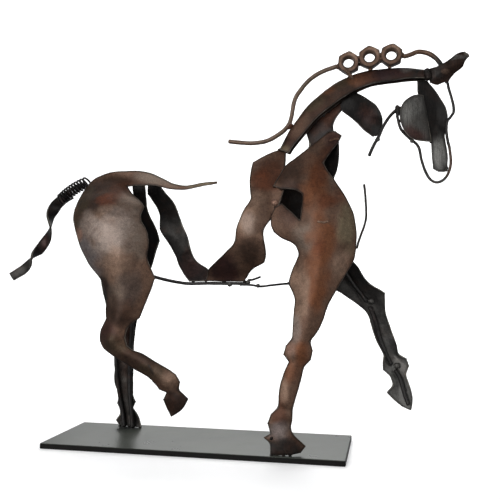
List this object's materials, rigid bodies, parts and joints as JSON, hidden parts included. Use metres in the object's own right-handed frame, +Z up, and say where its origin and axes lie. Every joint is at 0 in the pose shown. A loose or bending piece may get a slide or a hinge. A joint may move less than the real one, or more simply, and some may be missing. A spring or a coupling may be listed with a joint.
{
  "type": "scrap metal horse sculpture",
  "caption": "Trotting horse cut and hammered from scrap sheet steel, with a mane of hexagonal nuts and bent rod, a spring tail and wire bridle, on a flat rectangular base plate.",
  "frame": {"origin": "centre of the base plate's underside", "axes": "+X the way the horse faces, +Y to its far (left) side, +Z up"},
  "size_m": [0.3125, 0.063, 0.2573],
  "materials": {
    "brown_sheet": "heat-browned steel sheet, hammered, satin",
    "dark_sheet": "charcoal steel sheet with a purple cast, satin",
    "brushed_sheet": "brushed grey steel with browned rim",
    "copper_brown": "copper-brown steel, satin",
    "grey_wire": "dark grey steel rod and wire, satin",
    "plate_steel": "dark waxed steel plate, half gloss"
  },
  "bodies": {
    "root": {"near_haunch_and_hind_leg": "brown_sheet", "girth_strip": "brown_sheet", "near_shoulder_and_foreleg": "brown_sheet", "crest": "brown_sheet", "far_haunch_and_hind_leg": "dark_sheet", "flank_ribbon": "dark_sheet", "far_shoulder_and_foreleg": "dark_sheet", "throat_leaf": "dark_sheet", "face_plate": "dark_sheet", "ear": "dark_sheet", "tail_spring": "dark_sheet", "tail_strip": "dark_sheet", "cheek_disk": "brushed_sheet", "mane_nut_1": "copper_brown", "mane_nut_2": "copper_brown", "mane_nut_3": "copper_brown", "rear_mane_rod": "copper_brown", "front_mane_rod": "copper_brown", "far_hind_leg_rod_front": "grey_wire", "far_hind_leg_rod_rear": "grey_wire", "far_foreleg_rod_upper": "grey_wire", "far_foreleg_rod_middle": "grey_wire", "far_foreleg_rod_lower": "grey_wire", "bridle_wire": "grey_wire", "rein_wire": "grey_wire", "chest_wire": "grey_wire", "belly_rod": "grey_wire", "belly_stub_wire": "grey_wire", "belly_wire": "grey_wire", "base_plate": "plate_steel"}
  },
  "joints": []
}
